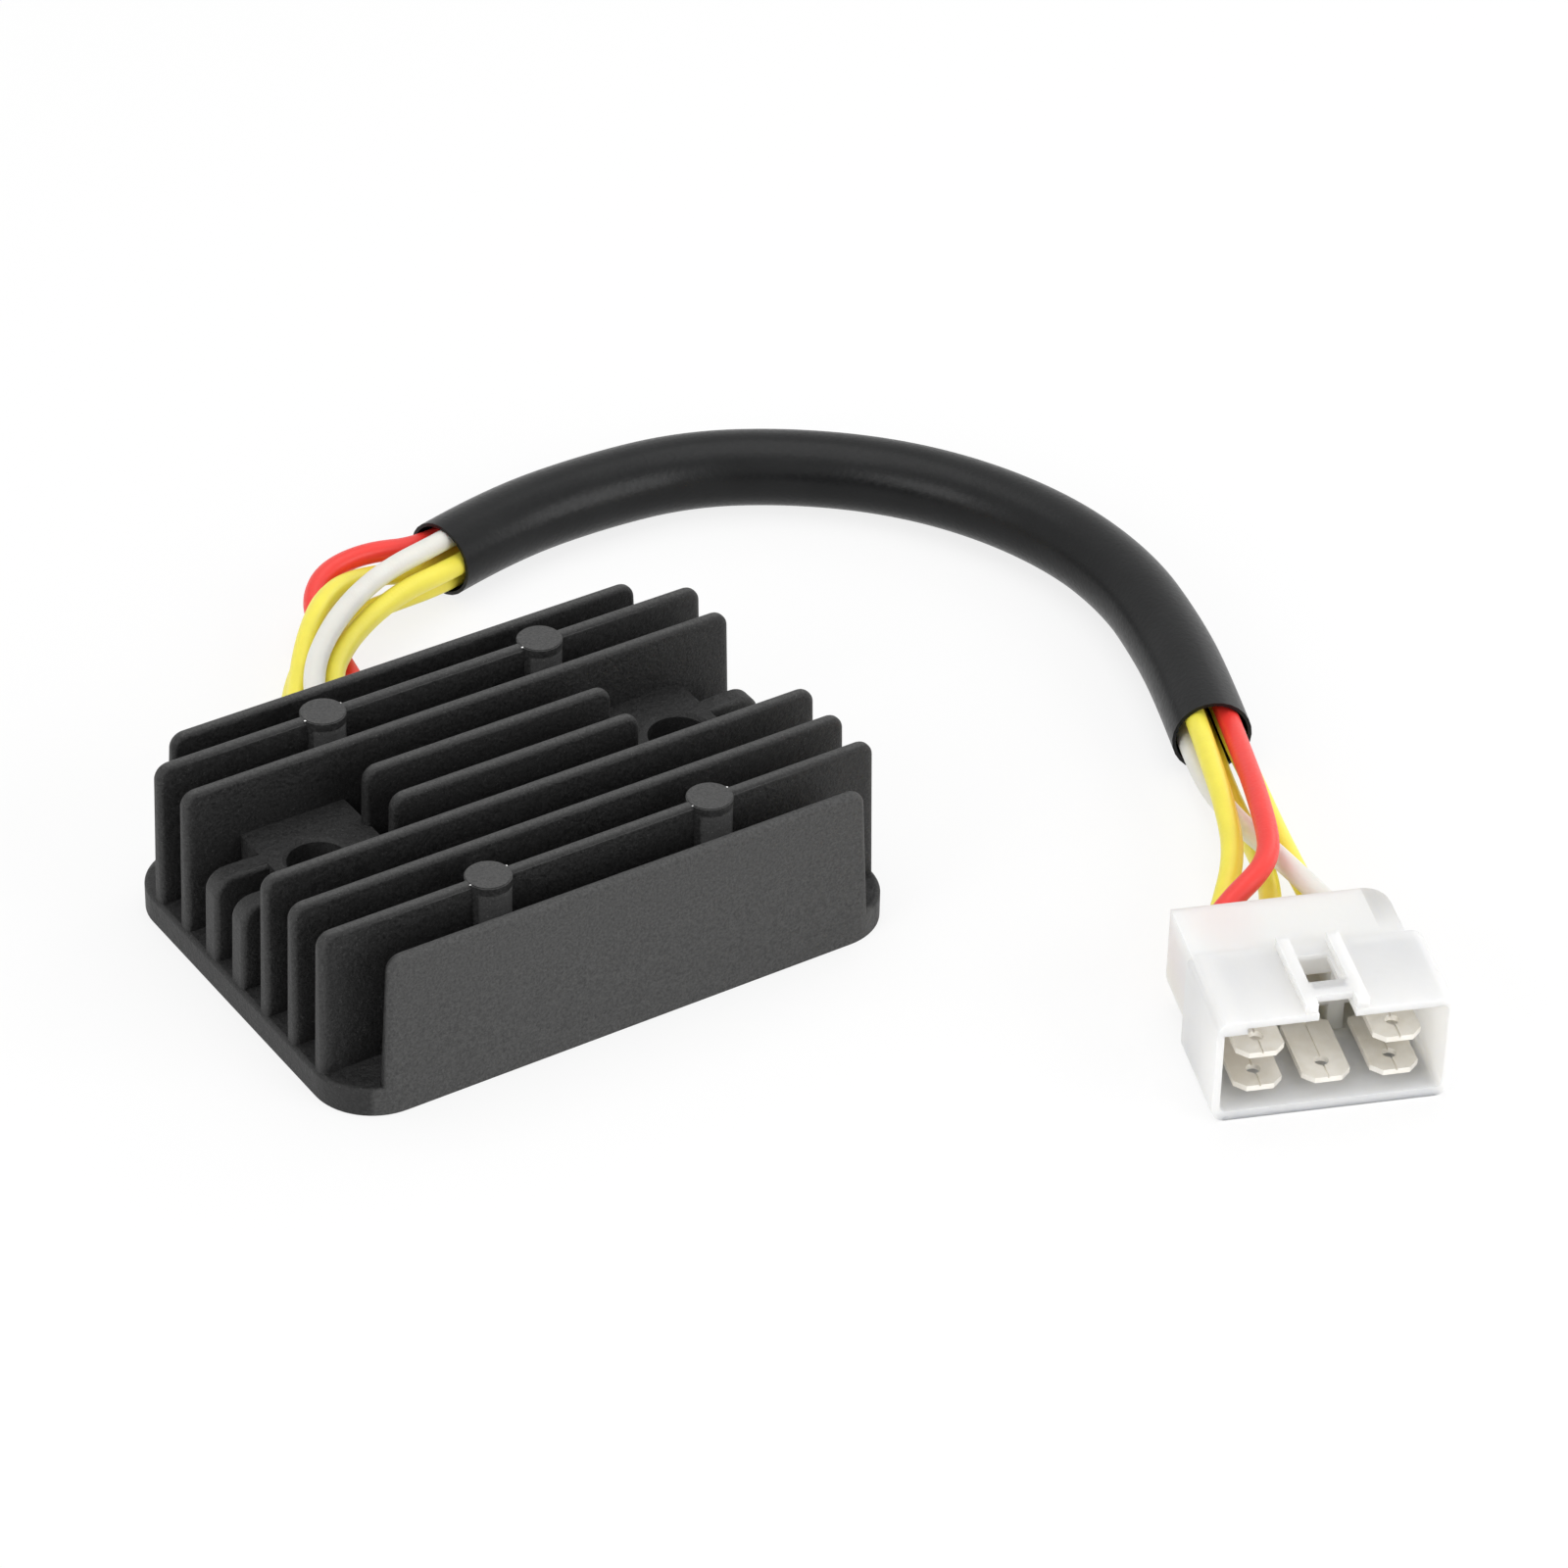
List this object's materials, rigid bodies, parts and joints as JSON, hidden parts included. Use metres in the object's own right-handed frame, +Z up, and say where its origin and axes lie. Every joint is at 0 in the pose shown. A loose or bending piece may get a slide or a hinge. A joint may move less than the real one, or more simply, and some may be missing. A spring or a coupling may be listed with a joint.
{
  "type": "voltage regulator rectifier",
  "caption": "Finned cast voltage regulator rectifier with a flanged base for two bolts, sleeved leads and a nylon blade connector.",
  "frame": {"origin": "centre of the casting's flat underside", "axes": "+X along the fins, +Y to the side where the leads leave, +Z up from the mounting face"},
  "size_m": [0.1552, 0.1738, 0.0249],
  "materials": {
    "black_casting": "matt black coating on cast aluminium",
    "potting_resin": "cast resin",
    "circuit_laminate": "glass fibre laminate",
    "insulating_pad": "matt",
    "moulded_device": "moulded epoxy",
    "grommet_rubber": "matt",
    "red_insulation": "satin",
    "white_insulation": "satin",
    "yellow_insulation": "satin",
    "sleeve_vinyl": "satin",
    "natural_nylon": "natural translucent nylon",
    "tinned_brass": "tin plated"
  },
  "bodies": {
    "root": {"cable_grommet": "grommet_rubber", "circuit_board": "circuit_laminate", "connector_housing": "natural_nylon", "control_capacitor": "moulded_device", "control_diode": "moulded_device", "control_resistor_1": "moulded_device", "control_resistor_2": "moulded_device", "harness_sleeve": "sleeve_vinyl", "heatsink_housing": "black_casting", "potting_fill": "potting_resin", "rectifier_diode_1": "moulded_device", "rectifier_diode_2": "moulded_device", "rectifier_diode_3": "moulded_device", "red_wire": "red_insulation", "tab_terminal_1": "tinned_brass", "tab_terminal_2": "tinned_brass", "tab_terminal_3": "tinned_brass", "tab_terminal_4": "tinned_brass", "tab_terminal_5": "tinned_brass", "thermal_pad": "insulating_pad", "thyristor_1": "moulded_device", "thyristor_2": "moulded_device", "thyristor_3": "moulded_device", "white_wire": "white_insulation", "yellow_wire_1": "yellow_insulation", "yellow_wire_2": "yellow_insulation", "yellow_wire_3": "yellow_insulation"}
  },
  "joints": []
}
